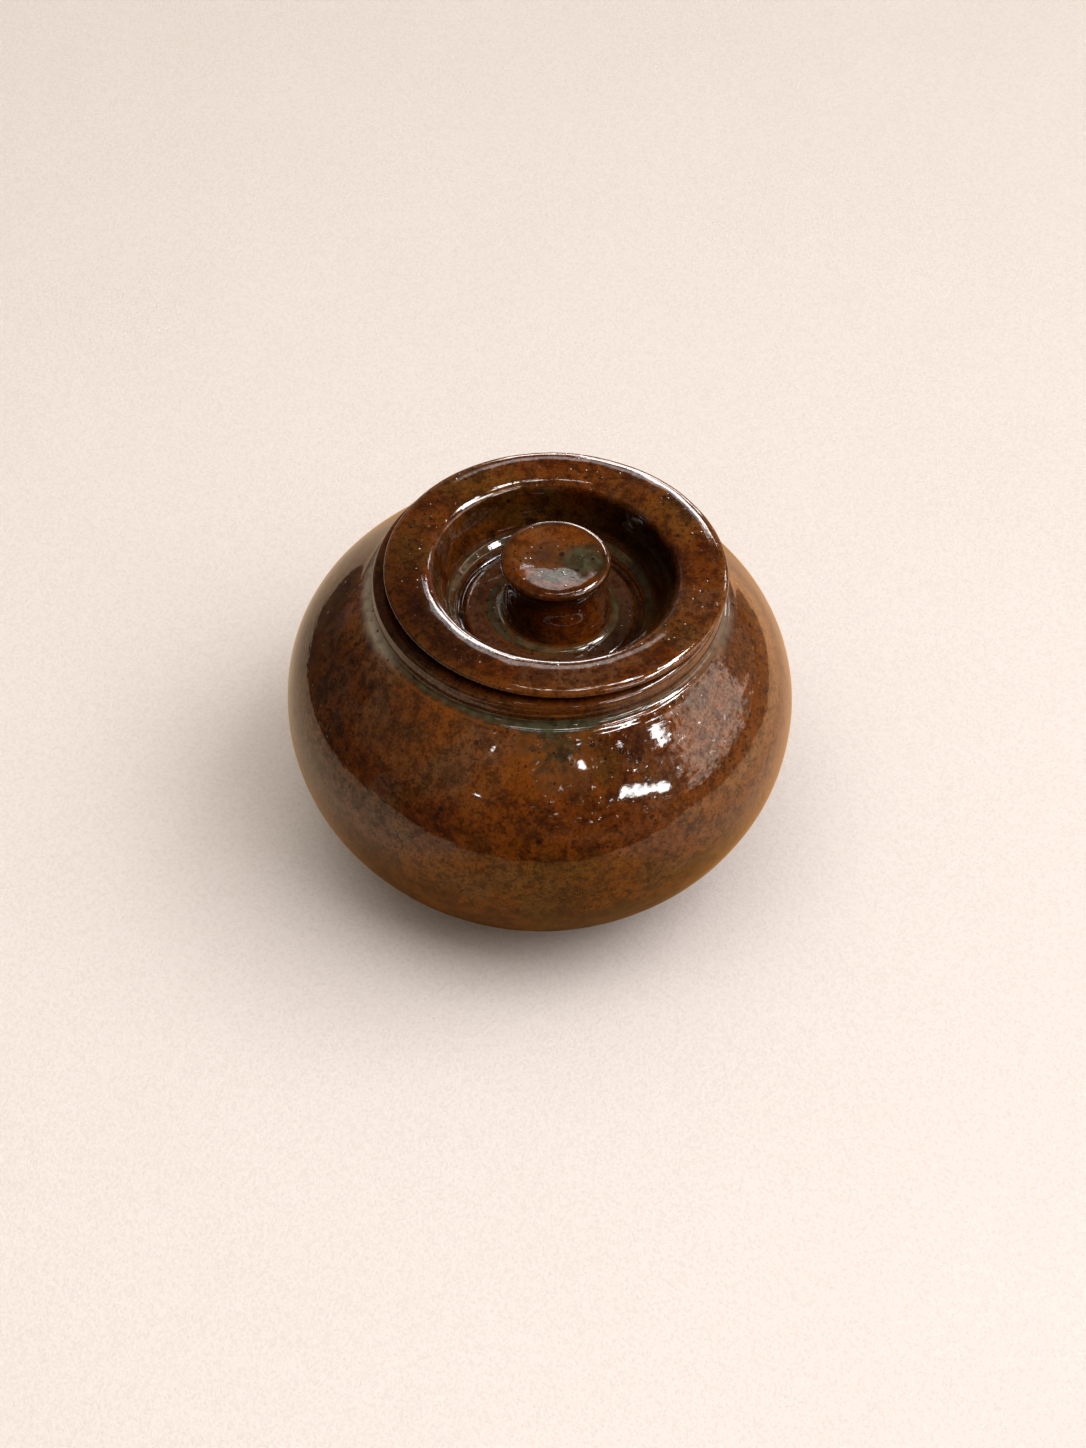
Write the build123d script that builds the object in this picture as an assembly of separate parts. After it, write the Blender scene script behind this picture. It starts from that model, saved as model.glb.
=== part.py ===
from build123d import *
import math
import os

# A small glazed storage jar with a loose dish lid. Millimetres, +Z up.
# The origin is on the ground, at the centre of the flat foot.

# Belly of the jar, from the foot to the neck
foot_radius = 36.0
foot_bevel = 1.2
belly_radius = 70.0
belly_height = 52.0
neck_height = 90.4
shoulder_slope = 42.4
foot_slope = 28.4
shoulder_pull_share = 0.50
neck_pull_share = 0.543
belly_pull_share = 0.485
foot_pull_share = 0.466
wall = 5.0
base_thickness = 6.0

# Collar round the mouth, a thick coil of clay whose flat top carries the lid
mouth_radius = 40.0
mouth_bevel = 0.3
collar_width = 7.0
collar_height = 7.4
collar_bulge = 0.35
groove_depth = 1.8
groove_height = 2.3
lip_round = 1.7

# Lid: a deep dish with a thick rolled rim, which drops loosely into the mouth
lid_play = 2.4
lid_shift_share = 0.83
seat_width = 5.4
rim_overhang = 3.0
rim_thickness = 4.5
rim_drop = 1.7
crest_inset = 4.9
crest_flat_share = 0.70
well_inset = 5.2
well_drop = 2.8
well_depth = 13.2
wall_run = 4.4
ledge_width = 2.6
ledge_rise = 1.9
moat_width = 2.3
moat_depth = 1.3
dish_floor = 4.4
dish_spread = 1.0
dish_heel = 2.4

# Knob: a full stem drawn in under a wide, slightly hollowed cap
knob_foot_radius = 15.0
knob_height = 19.7
knob_offset = 1.4
stem_swell_share = 0.60
stem_tuck_share = 0.30
waist_inset = 3.6
waist_share = 0.60
cap_overhang = 3.4
cap_thickness = 3.6
cap_edge_drop = 1.9
cap_lip = 1.8
cap_hollow = 0.8

# Places worked out from the sizes above
collar_radius = mouth_radius + collar_width
neck_radius = collar_radius + groove_depth
collar_top = neck_height + collar_height
plug_radius = mouth_radius - lid_play
lid_shift = lid_shift_share * lid_play
seat_radius = plug_radius + seat_width
rim_radius = seat_radius + rim_overhang
crest_radius = rim_radius - crest_inset
crest_height = collar_top + rim_thickness
well_radius = plug_radius - well_inset
floor_height = collar_top - well_depth
ledge_radius = well_radius - wall_run
ledge_height = floor_height + ledge_rise
waist_radius = knob_foot_radius - waist_inset
cap_radius = waist_radius + cap_overhang


def at(radius, height):
    """A point of an outline that is turned about Z."""
    return Vector(radius, 0, height)


def turned(edges):
    """The solid made by turning a closed outline about Z."""
    return revolve(make_face(edges), axis=Axis.Z)


def rounded(start, corner, end):
    """A smooth bend from start to end, as if a corner between them were rounded off."""
    return Bezier(start, corner, end)


def closed_by_lines(edges, *corners):
    """The edges, with straight lines from their end through the corners and back to their start."""
    stops = [edges[-1] @ 1, *corners, edges[0] @ 0]
    return [*edges, *(Line(a, b) for a, b in zip(stops, stops[1:]))]


def belly_curves(top_radius, wide_radius, low_radius, low_height):
    """Shoulder and lower belly: two curves that meet upright at the widest line."""
    rise = neck_height - belly_height
    drop = belly_height - low_height
    neck_pull = neck_pull_share * (wide_radius - top_radius)
    foot_pull = foot_pull_share * (wide_radius - low_radius)
    neck_dip = neck_pull * math.tan(math.radians(shoulder_slope))
    foot_lift = foot_pull * math.tan(math.radians(foot_slope))
    shoulder = Bezier(
        at(top_radius, neck_height),
        at(top_radius + neck_pull, neck_height - neck_dip),
        at(wide_radius, belly_height + shoulder_pull_share * rise),
        at(wide_radius, belly_height),
    )
    lower = Bezier(
        at(wide_radius, belly_height),
        at(wide_radius, belly_height - belly_pull_share * drop),
        at(low_radius + foot_pull, low_height + foot_lift),
        at(low_radius, low_height),
    )
    return [shoulder, lower]


def jar_shell():
    """The whole thrown jar below the collar, hollowed, before its base disc is parted off."""
    outside = belly_curves(neck_radius, belly_radius, foot_radius, foot_bevel)
    inside = belly_curves(mouth_radius, belly_radius - wall, foot_radius, base_thickness)
    ground = [at(foot_radius - foot_bevel, 0), at(0, 0), at(0, neck_height)]
    hollow = [at(0, base_thickness), at(0, neck_height)]
    return turned(closed_by_lines(outside, *ground)) - turned(closed_by_lines(inside, *hollow))


def parted(shell, keep):
    """The jar's base disc or its wall: the shell on one side of the top of the base."""
    return split(shell, bisect_by=Plane.XY.offset(base_thickness), keep=keep)


def neck_collar():
    """Mouth coil: a pooled groove at its foot, a slightly bulging band and a flat top."""
    band_foot = neck_height + groove_height
    band_top = collar_top - lip_round
    groove_top = at(collar_radius, band_foot)
    groove = rounded(at(neck_radius, neck_height), at(collar_radius, neck_height), groove_top)
    middle = at(collar_radius + collar_bulge, (band_foot + band_top) / 2)
    band = ThreePointArc(groove_top, middle, at(collar_radius, band_top))
    lip_start = at(collar_radius, band_top)
    lip = rounded(lip_start, at(collar_radius, collar_top), at(collar_radius - lip_round, collar_top))
    mouth = [at(mouth_radius + mouth_bevel, collar_top), at(mouth_radius, collar_top - mouth_bevel)]
    return turned(closed_by_lines([groove, band, lip], *mouth, at(mouth_radius, neck_height)))


def rim_curves():
    """The rolled rim, from its flat underside over the crest to the top of the well's wall."""
    widest = crest_height - rim_drop
    rise = widest - collar_top
    well_top = crest_height - well_drop
    inward = crest_radius - well_radius
    under = Bezier(
        at(seat_radius, collar_top),
        at(seat_radius + rim_overhang / 3, collar_top + rise / 4),
        at(rim_radius, widest - rise / 4),
        at(rim_radius, widest),
    )
    over = Bezier(
        at(rim_radius, widest),
        at(rim_radius, crest_height - rim_drop / 3),
        at(crest_radius + crest_flat_share * crest_inset, crest_height),
        at(crest_radius, crest_height),
    )
    inner = Bezier(
        at(crest_radius, crest_height),
        at(well_radius + inward / 4, crest_height),
        at(well_radius + inward / 12, crest_height - well_drop / 5),
        at(well_radius, well_top),
    )
    return [under, over, inner]


def lid_dish():
    """Lid without its knob: rolled rim, sloping wall, narrow ledge, moat and raised floor."""
    well_foot = at(ledge_radius, ledge_height + ledge_width / 2)
    ledge_back = at(ledge_radius - ledge_width / 2, ledge_height)
    rim = rim_curves()
    wall_line = Line(rim[-1] @ 1, well_foot)
    hollow = rounded(well_foot, at(ledge_radius, ledge_height), ledge_back)
    ledge_edge = ledge_radius - ledge_width
    floor_edge = ledge_edge - moat_width
    corners = [
        at(ledge_edge, ledge_height),
        at(ledge_edge, floor_height - moat_depth),
        at(floor_edge + moat_width / 2, floor_height - moat_depth),
        at(floor_edge, floor_height),
        at(0, floor_height),
        at(0, floor_height - dish_floor),
        at(ledge_radius + dish_spread, floor_height - dish_floor),
        at(ledge_radius + dish_spread + dish_heel, floor_height - dish_floor + dish_heel),
        at(plug_radius, collar_top),
    ]
    return Pos(lid_shift, 0, 0) * turned(closed_by_lines([*rim, wall_line, hollow], *corners))


def lid_knob():
    """Knob, luted a little behind the middle of the lid's floor: full stem, waist and hollowed cap."""
    knob_top = floor_height + knob_height
    waist_height = waist_share * knob_height
    waist = floor_height + waist_height
    cap_under = knob_top - cap_thickness
    cap_edge = knob_top - cap_edge_drop
    stem = Bezier(
        at(knob_foot_radius, floor_height),
        at(knob_foot_radius, floor_height + stem_swell_share * waist_height),
        at(waist_radius, waist - stem_tuck_share * waist_height),
        at(waist_radius, waist),
    )
    throat = Bezier(
        at(waist_radius, waist),
        at(waist_radius, (waist + cap_under) / 2),
        at((waist_radius + cap_radius) / 2, cap_under),
        at(cap_radius, cap_edge),
    )
    lip_radius = cap_radius - cap_lip
    edge = rounded(at(cap_radius, cap_edge), at(cap_radius, knob_top), at(lip_radius, knob_top))
    hollow = Bezier(
        at(lip_radius, knob_top),
        at(lip_radius * 3 / 4, knob_top),
        at(lip_radius / 2, knob_top - cap_hollow),
        at(0, knob_top - cap_hollow),
    )
    outline = closed_by_lines([stem, throat, edge, hollow], at(0, floor_height))
    return Pos(lid_shift, knob_offset, 0) * turned(outline)


shell = jar_shell()
parts = {
    "base_slab": parted(shell, Keep.BOTTOM),
    "jar_body": parted(shell, Keep.TOP),
    "neck_collar": neck_collar(),
    "lid_dish": lid_dish(),
    "lid_knob": lid_knob(),
}

os.makedirs("parts", exist_ok=True)
for node, shape in parts.items():
    export_step(shape, f"parts/{node}.step")
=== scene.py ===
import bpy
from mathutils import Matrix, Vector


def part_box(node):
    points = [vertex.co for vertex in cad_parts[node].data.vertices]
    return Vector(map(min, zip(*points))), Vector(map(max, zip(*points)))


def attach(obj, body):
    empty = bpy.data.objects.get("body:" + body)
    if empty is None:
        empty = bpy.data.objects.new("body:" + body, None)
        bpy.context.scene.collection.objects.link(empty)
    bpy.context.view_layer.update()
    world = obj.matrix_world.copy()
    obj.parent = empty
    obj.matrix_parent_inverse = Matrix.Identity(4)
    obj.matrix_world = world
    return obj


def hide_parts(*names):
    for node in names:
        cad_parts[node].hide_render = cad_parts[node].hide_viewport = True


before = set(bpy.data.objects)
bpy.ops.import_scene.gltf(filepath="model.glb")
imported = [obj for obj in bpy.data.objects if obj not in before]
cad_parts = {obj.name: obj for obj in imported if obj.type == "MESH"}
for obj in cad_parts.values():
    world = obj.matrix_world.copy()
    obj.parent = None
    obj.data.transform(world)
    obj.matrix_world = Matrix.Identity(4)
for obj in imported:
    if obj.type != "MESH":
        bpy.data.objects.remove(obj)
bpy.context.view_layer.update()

import math

import bpy
import numpy as np
from mathutils import Vector, noise

# Metres throughout. The jar stands on z = 0 and the camera looks along +Y and down.
MM = 0.001

# Places and sizes that the frame gives
base_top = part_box("base_slab")[1].z
neck_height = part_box("jar_body")[1].z
collar_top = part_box("neck_collar")[1].z
crest_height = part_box("lid_dish")[1].z
dish_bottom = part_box("lid_dish")[0].z
floor_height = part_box("lid_knob")[0].z
knob_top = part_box("lid_knob")[1].z
belly_radius = (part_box("jar_body")[1].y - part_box("jar_body")[0].y) / 2
neck_radius = (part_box("neck_collar")[1].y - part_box("neck_collar")[0].y) / 2
rim_radius = (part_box("lid_dish")[1].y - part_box("lid_dish")[0].y) / 2
lid_centre = (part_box("lid_dish")[1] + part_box("lid_dish")[0]) / 2
knob_centre = (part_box("lid_knob")[1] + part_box("lid_knob")[0]) / 2

# Sizes of the clay that the boxes don't give
SHOULDER_SLOPE = math.radians(42.4)
FOOT_SLOPE = math.radians(28.4)
NECK_PULL_SHARE = 0.543
FOOT_PULL_SHARE = 0.466
BELLY_PULL_SHARE = 0.485
BELLY_HEIGHT = 52.0 * MM
BELLY_LEAN = -1.0 * MM
FOOT_RADIUS = 36.0 * MM
FOOT_BEVEL = 1.2 * MM
GLAZE_EDGE = 3.2 * MM
MOUTH_RADIUS = 40.0 * MM
COLLAR_RADIUS = 47.0 * MM
COLLAR_LIP = 1.7 * MM
WALL = 5.0 * MM
PLUG_RADIUS = 37.6 * MM
SEAT_RADIUS = 43.0 * MM
CREST_INSET = 4.9 * MM
RIM_DROP = 1.7 * MM
WELL_RADIUS = 32.4 * MM
WELL_DROP = 2.8 * MM
LEDGE_RADIUS = 28.0 * MM
LEDGE_EDGE = 25.4 * MM
LEDGE_RISE = 1.9 * MM
FLOOR_EDGE = 23.1 * MM
KNOB_FOOT = 15.0 * MM
WAIST_RADIUS = 11.4 * MM
CAP_RADIUS = 14.8 * MM
# How far the well, the knob's foot and its cap stand off the middle of their piece
WELL_SIDE = -1.1 * MM
WELL_BACK = 2.0 * MM
FOOT_SIDE = 0.7 * MM
CAP_SIDE = -0.3 * MM
# The bead of glaze below the groove, and how far out the jar's skin is cut finely
BEAD_RADIUS = 50.2 * MM
BEAD_RISE = 0.12 * MM
FINE_RADIUS = 53.0 * MM

# Quads round a wide piece and round a small one
WIDE_TURN = 480
SMALL_TURN = 240


def bezier(*points, steps=120):
    """Points of a Bezier curve of any degree, as an array of (radius, height)."""
    corners = np.array(points, float)
    t = np.linspace(0, 1, steps)[:, None]
    n = len(corners) - 1
    return sum(math.comb(n, k) * t**k * (1 - t) ** (n - k) * corners[k] for k in range(n + 1))


def joined(*runs):
    """One path from several, without the doubled points where they meet."""
    path = [np.atleast_2d(np.array(runs[0], float))]
    for run in runs[1:]:
        run = np.atleast_2d(np.array(run, float))
        if np.allclose(path[-1][-1], run[0]):
            run = run[1:]
        path.append(run)
    return np.vstack(path)


def evenly(path, spacing):
    """The path again, with its points a spacing apart."""
    step = np.linalg.norm(np.diff(path, axis=0), axis=1)
    along = np.concatenate([[0], np.cumsum(step)])
    wanted = np.linspace(0, along[-1], max(3, int(round(along[-1] / spacing)) + 1))
    return np.column_stack([np.interp(wanted, along, path[:, k]) for k in range(2)])


def softened(path, rounds):
    """The path with its sharp corners eased, its two ends kept."""
    path = path.copy()
    for _ in range(rounds):
        path[1:-1] = (path[:-2] + 2 * path[1:-1] + path[2:]) / 4
    return path


def outward(path):
    """Unit normals of a path that runs with the clay on its right-hand side."""
    tangent = np.gradient(path, axis=0)
    tangent /= np.linalg.norm(tangent, axis=1, keepdims=True)
    return np.column_stack([-tangent[:, 1], tangent[:, 0]])


def wander(points, size, seed):
    """Smooth noise at each point, about -1 to 1, with features of the size given."""
    shift = Vector((seed * 7.1, seed * 3.3, seed * 5.7))
    return np.array([noise.noise(Vector(p) / size + shift) for p in points])


def radius_of(points):
    """Distance of each point from the upright axis."""
    return np.hypot(points[:, 0], points[:, 1])


def turn_of(points):
    """Way of each point from the axis, -180 to 180 degrees.

    0 is to the right and 90 away from the camera.
    """
    return np.degrees(np.arctan2(points[:, 1], points[:, 0]))


def smooth(value, low, high):
    """0 up to low, 1 from high on, and a smooth rise between them. low may be the larger."""
    t = np.clip((value - low) / (high - low), 0, 1)
    return t * t * (3 - 2 * t)


def near(value, middle, width):
    """1 at the middle, falling off smoothly over about the width on each side."""
    return np.exp(-(((value - middle) / width) ** 2))


def tube_faces(rings, segments, closed):
    """Quads of a turned skin; a closed one joins its last ring to its first."""
    i = np.arange(rings if closed else rings - 1)[:, None]
    j = np.arange(segments)[None, :]
    after, beside = (i + 1) % rings, (j + 1) % segments
    corners = [i * segments + j, after * segments + j, after * segments + beside, i * segments + beside]
    return np.stack([np.broadcast_to(c, (i.size, segments)) for c in corners], -1).reshape(-1, 4)


def turned(name, outline, segments, centre=(0.0, 0.0), relief=None, marks=None, lean=None):
    """A mesh turned about the vertical through centre.

    An outline that starts and ends at radius 0 gets a point at each end; any other is a closed loop.
    relief(points) says how far each point moves out along its normal. marks is a dict of functions
    of (radius, height, points) that store a value from 0 to 1 for the glaze. lean(points) shifts
    the points sideways, as a hand-thrown wall wanders off its axis.
    """
    poled = outline[0, 0] < 1e-9
    rings = outline[1:-1] if poled else outline
    looped = outline if poled else np.vstack([outline[-1:], outline, outline[:1]])
    normals = outward(looped)[1:-1]
    angle = np.linspace(0, 2 * math.pi, segments, endpoint=False)
    turn = np.stack([np.cos(angle), np.sin(angle)], -1)
    radius, height = rings[:, 0][:, None], rings[:, 1][:, None]
    points = np.stack([radius * turn[:, 0], radius * turn[:, 1], height + 0 * turn[:, 0]], -1).reshape(-1, 3)
    facing = np.stack([normals[:, :1] * turn[:, 0], normals[:, :1] * turn[:, 1],
                       normals[:, 1:] + 0 * turn[:, 0]], -1).reshape(-1, 3)
    faces = [tuple(f) for f in tube_faces(len(rings), segments, not poled).tolist()]
    if poled:
        first, last = len(points), len(points) + 1
        start = (len(rings) - 1) * segments
        for j in range(segments):
            k = (j + 1) % segments
            faces.append((first, j, k))
            faces.append((last, start + k, start + j))
        points = np.vstack([points, [0, 0, outline[0, 1]], [0, 0, outline[-1, 1]]])
        facing = np.vstack([facing, [0, 0, 1], [0, 0, -1]])
    plain = points.copy()
    if relief is not None:
        points = points + facing * relief(plain)[:, None]
    if lean is not None:
        points = points + lean(plain)
    points = points + np.array([centre[0], centre[1], 0.0])
    mesh = bpy.data.meshes.new(name)
    mesh.from_pydata(points.tolist(), [], faces)
    mesh.polygons.foreach_set("use_smooth", [True] * len(mesh.polygons))
    for mark, value in (marks or {}).items():
        layer = mesh.attributes.new(mark, "FLOAT", "POINT")
        amount = np.clip(value(radius_of(plain), plain[:, 2], plain), 0, 1)
        layer.data.foreach_set("value", amount.astype(np.float32))
    mesh.update()
    piece = bpy.data.objects.new(name, mesh)
    bpy.context.scene.collection.objects.link(piece)
    return piece


def belly(top_radius, wide_radius, low_radius, low_height):
    """Shoulder and lower belly, from the neck down to the foot: they meet upright at the widest line."""
    neck_pull = NECK_PULL_SHARE * (wide_radius - top_radius)
    foot_pull = FOOT_PULL_SHARE * (wide_radius - low_radius)
    shoulder = bezier(
        (top_radius, neck_height),
        (top_radius + neck_pull, neck_height - neck_pull * math.tan(SHOULDER_SLOPE)),
        (wide_radius, (neck_height + BELLY_HEIGHT) / 2),
        (wide_radius, BELLY_HEIGHT))
    lower = bezier(
        (wide_radius, BELLY_HEIGHT),
        (wide_radius, BELLY_HEIGHT - BELLY_PULL_SHARE * (BELLY_HEIGHT - low_height)),
        (low_radius + foot_pull, low_height + foot_pull * math.tan(FOOT_SLOPE)),
        (low_radius, low_height))
    return joined(shoulder, lower)


def jar_outline():
    """Glazed skin of the jar: inner floor, inner wall, groove, shoulder, belly and the glaze's lower edge."""
    inside = belly(MOUTH_RADIUS, belly_radius - WALL, FOOT_RADIUS, base_top)[::-1]
    outside = belly(neck_radius, belly_radius, FOOT_RADIUS, FOOT_BEVEL)
    glazed = outside[outside[:, 1] > GLAZE_EDGE]
    groove_top = (COLLAR_RADIUS - 0.3 * MM, neck_height + 2.3 * MM)
    groove = bezier(groove_top, (COLLAR_RADIUS - 0.4 * MM, neck_height + 0.3 * MM),
                    (neck_radius, neck_height))
    end = glazed[-1]
    edge = bezier(end, end + np.array([-0.7, -0.45]) * MM, end + np.array([-1.1, 0.1]) * MM, steps=12)
    glaze = 0.3 * MM
    visible_in = joined(evenly(joined((0, base_top + glaze), inside[0] + np.array([-2 * MM, glaze])), 4 * MM),
                        evenly(inside[4:], 2 * MM))
    hidden_neck = joined(inside[-1], (MOUTH_RADIUS + 1 * MM, neck_height + 1 * MM),
                         (COLLAR_RADIUS - 3 * MM, neck_height + 2 * MM), groove_top)
    fine = np.count_nonzero((glazed[:, 0] < FINE_RADIUS) & (glazed[:, 1] > BELLY_HEIGHT))
    visible_out = joined(evenly(groove, 0.3 * MM), evenly(glazed[:fine], 0.3 * MM),
                         evenly(glazed[fine - 1:], 0.85 * MM), edge)
    hidden_base = joined(edge[-1], (end[0] - 0.5 * MM, base_top - 1 * MM), (0, base_top - 1 * MM))
    return joined(visible_in, evenly(hidden_neck, 1 * MM), visible_out, evenly(hidden_base, 3 * MM))


def collar_outline():
    """Mouth coil: a slightly bulging band, a rounded lip, the flat seat and the inner face."""
    foot = neck_height + 2.0 * MM
    top = collar_top
    band = bezier((COLLAR_RADIUS - 0.5 * MM, foot), (COLLAR_RADIUS + 0.1 * MM, foot + 0.1 * MM),
                  (COLLAR_RADIUS + 0.7 * MM, (foot + top - COLLAR_LIP) / 2),
                  (COLLAR_RADIUS + 0.1 * MM, top - COLLAR_LIP), steps=60)[::-1]
    round_top = bezier((COLLAR_RADIUS - COLLAR_LIP, top), (COLLAR_RADIUS, top), band[0], steps=24)
    seat = evenly(joined((MOUTH_RADIUS + 0.4 * MM, top), round_top[0]), 0.8 * MM)
    mouth = evenly(joined((MOUTH_RADIUS, neck_height), (MOUTH_RADIUS, top - 0.4 * MM)), 0.8 * MM)
    bevel = bezier(mouth[-1], (MOUTH_RADIUS, top), seat[0], steps=6)
    hidden = evenly(joined(band[-1], (COLLAR_RADIUS - 2.5 * MM, neck_height + 0.8 * MM), mouth[0]), 1 * MM)
    return joined(mouth, bevel, seat, round_top, evenly(band, 0.3 * MM), hidden[:-1])


def rim_outline():
    """Top of the well's wall, over the rolled rim and down to the lid's flat underside."""
    crest = rim_radius - CREST_INSET
    widest = crest_height - RIM_DROP
    rise = widest - collar_top
    inward = crest - WELL_RADIUS
    inner = bezier((WELL_RADIUS, crest_height - WELL_DROP),
                   (WELL_RADIUS + inward / 12, crest_height - WELL_DROP / 5),
                   (WELL_RADIUS + inward / 4, crest_height), (crest, crest_height))
    over = bezier((crest, crest_height), (crest + 0.7 * CREST_INSET, crest_height),
                  (rim_radius, crest_height - RIM_DROP / 3), (rim_radius, widest))
    under = bezier((rim_radius, widest), (rim_radius, widest - rise / 4),
                   (SEAT_RADIUS + 1 * MM, collar_top + rise / 4), (SEAT_RADIUS, collar_top))
    return joined(inner, over, under)


def lid_outline():
    """Lid without its knob, from the middle of its floor round to the middle of its underside."""
    ledge = floor_height + LEDGE_RISE
    rim = rim_outline()
    floor = joined(
        (0, floor_height), (KNOB_FOOT + 0.4 * MM, floor_height),
        bezier((FLOOR_EDGE - 0.9 * MM, floor_height), (FLOOR_EDGE, floor_height),
               (FLOOR_EDGE + 0.3 * MM, floor_height - 0.9 * MM), steps=10),
        bezier((FLOOR_EDGE + 0.4 * MM, floor_height - 1.1 * MM),
               (FLOOR_EDGE + 0.9 * MM, floor_height - 1.4 * MM),
               (LEDGE_EDGE - 0.3 * MM, floor_height - 1.0 * MM), steps=8),
        bezier((LEDGE_EDGE - 0.1 * MM, floor_height - 0.6 * MM), (LEDGE_EDGE - 0.1 * MM, ledge - 1.1 * MM),
               (LEDGE_EDGE + 0.5 * MM, ledge - 0.5 * MM), steps=14),
        bezier((LEDGE_RADIUS - 0.9 * MM, ledge + 0.4 * MM), (LEDGE_RADIUS - 0.1 * MM, ledge + 0.9 * MM),
               (LEDGE_RADIUS, ledge + 2.2 * MM), steps=14))
    wall = bezier(floor[-1], (LEDGE_RADIUS + 0.9 * MM, floor_height + 8.0 * MM), rim[0], steps=60)
    heel = LEDGE_RADIUS + 3.4 * MM
    under = joined(rim[-1], (PLUG_RADIUS + 0.4 * MM, collar_top), (PLUG_RADIUS, collar_top - 0.5 * MM),
                   (heel, dish_bottom + 2.4 * MM), (heel - 2.4 * MM, dish_bottom), (0, dish_bottom))
    return joined((0, floor_height), evenly(floor[1:], 0.3 * MM), evenly(wall, 0.5 * MM),
                  evenly(rim, 0.35 * MM), softened(evenly(under, 0.6 * MM), 6))


def knob_outline():
    """Knob: hollowed cap, rounded edge, waist and a full stem that stands on the floor."""
    cap_edge = knob_top - 1.9 * MM
    under = knob_top - 3.6 * MM
    waist_height = 0.60 * (knob_top - floor_height)
    waist = floor_height + waist_height
    lip = CAP_RADIUS - 1.8 * MM
    hollow = bezier((0, knob_top - 0.8 * MM), (lip / 2, knob_top - 0.8 * MM),
                    (0.8 * lip, knob_top), (lip, knob_top))
    edge = bezier((lip, knob_top), (CAP_RADIUS, knob_top), (CAP_RADIUS, cap_edge))
    throat = bezier((CAP_RADIUS, cap_edge), ((WAIST_RADIUS + CAP_RADIUS) / 2, under),
                    (WAIST_RADIUS, (waist + under) / 2), (WAIST_RADIUS, waist))
    stem = bezier((WAIST_RADIUS, waist), (WAIST_RADIUS, waist - 0.30 * waist_height),
                  (KNOB_FOOT, floor_height + 0.60 * waist_height), (KNOB_FOOT, floor_height))
    stem = stem[stem[:, 1] > floor_height + 1.6 * MM]
    fillet = bezier(stem[-1], (KNOB_FOOT, floor_height + 0.2 * MM),
                    (KNOB_FOOT + 1.8 * MM, floor_height + 0.05 * MM))
    return joined(evenly(joined(hollow, edge, throat, stem, fillet), 0.25 * MM),
                  (KNOB_FOOT, floor_height - 0.4 * MM), (0, floor_height - 0.4 * MM))


def slab_outline():
    """Base disc: its bare side below the glaze, a small turned bevel and the flat foot."""
    side = belly(neck_radius, belly_radius, FOOT_RADIUS, FOOT_BEVEL)
    side = side[side[:, 1] < base_top] - np.array([0.3 * MM, 0])
    return joined((0, base_top), (side[0, 0] - 1 * MM, base_top), evenly(side, 0.6 * MM),
                  bezier(side[-1], (FOOT_RADIUS - 0.3 * MM, 0), (FOOT_RADIUS - 1.6 * MM, 0), steps=8), (0, 0))


def thrown(points, wave, ripple, lines, seed):
    """Relief of hand-thrown clay under glaze: broad waves, small ripples and level throwing lines."""
    level = points * np.array([0.15, 0.15, 1.0])
    return (wave * wander(points, 13 * MM, seed) + ripple * wander(points, 4.5 * MM, seed + 1)
            + lines * wander(level, 1.6 * MM, seed + 2))


def jar_relief(points):
    """The jar's skin, with a bead of glaze below the groove, and its foot kept level."""
    radius, height = radius_of(points), points[:, 2]
    outside = (height > BELLY_HEIGHT) * (radius > COLLAR_RADIUS)
    bead = BEAD_RISE * near(radius, BEAD_RADIUS, 0.9 * MM) * outside
    return bead + thrown(points, 0.07 * MM, 0.018 * MM, 0.012 * MM, 1) * smooth(height, 3 * MM, 12 * MM)


def collar_relief(points):
    """The coil, with a plain flat seat."""
    side = smooth(radius_of(points), 45.6 * MM, 46.6 * MM)
    return thrown(points, 0.05 * MM, 0.02 * MM, 0.06 * MM, 4) * side


def lid_relief(points):
    """The lid's top, with a plain flat underside."""
    height = points[:, 2]
    rim = smooth(height, collar_top + 0.2 * MM, collar_top + 1.5 * MM)
    well = (smooth(radius_of(points), 33.5 * MM, 31 * MM)
            * smooth(height, floor_height - 2.5 * MM, floor_height - 1.5 * MM))
    top = np.maximum(rim, well)
    return thrown(points, 0.09 * MM, 0.03 * MM, 0.02 * MM, 7) * top


def knob_relief(points):
    """The knob, whose foot keeps to the lid's floor."""
    free = smooth(points[:, 2], floor_height + 0.2 * MM, floor_height + 1.6 * MM)
    return thrown(points, 0.10 * MM, 0.05 * MM, 0.02 * MM, 10) * free


def jar_lean(points):
    """The belly leans a little to the left of its own neck."""
    shift = BELLY_LEAN * smooth(points[:, 2], neck_height, neck_height - 24 * MM)
    return np.stack([shift, 0 * shift, 0 * shift], -1)


def lid_lean(points):
    """The well was thrown a little behind and to the left of the middle of its rim."""
    share = smooth(radius_of(points), 33.5 * MM, 29 * MM)
    return np.stack([WELL_SIDE * share, WELL_BACK * share, 0 * share], -1)


def knob_lean(points):
    """The cap leans to the left of the knob's foot."""
    share = smooth(points[:, 2], floor_height, knob_top - 5 * MM)
    return np.stack([FOOT_SIDE + (CAP_SIDE - FOOT_SIDE) * share, 0 * share, 0 * share], -1)


def jar_pool(radius, height, points):
    """Green glaze in the groove, and a faint run of it down the front of the shoulder."""
    groove = near(height, neck_height + 0.9 * MM, 0.9 * MM) * (radius > 46 * MM)
    turn = turn_of(points)
    run = near(turn, -86, 11) * smooth(height, neck_height - 16 * MM, neck_height - 3 * MM)
    return groove * (1 - 0.5 * near(turn, -20, 45)) + 0.5 * run * (radius > 46 * MM)


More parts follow.
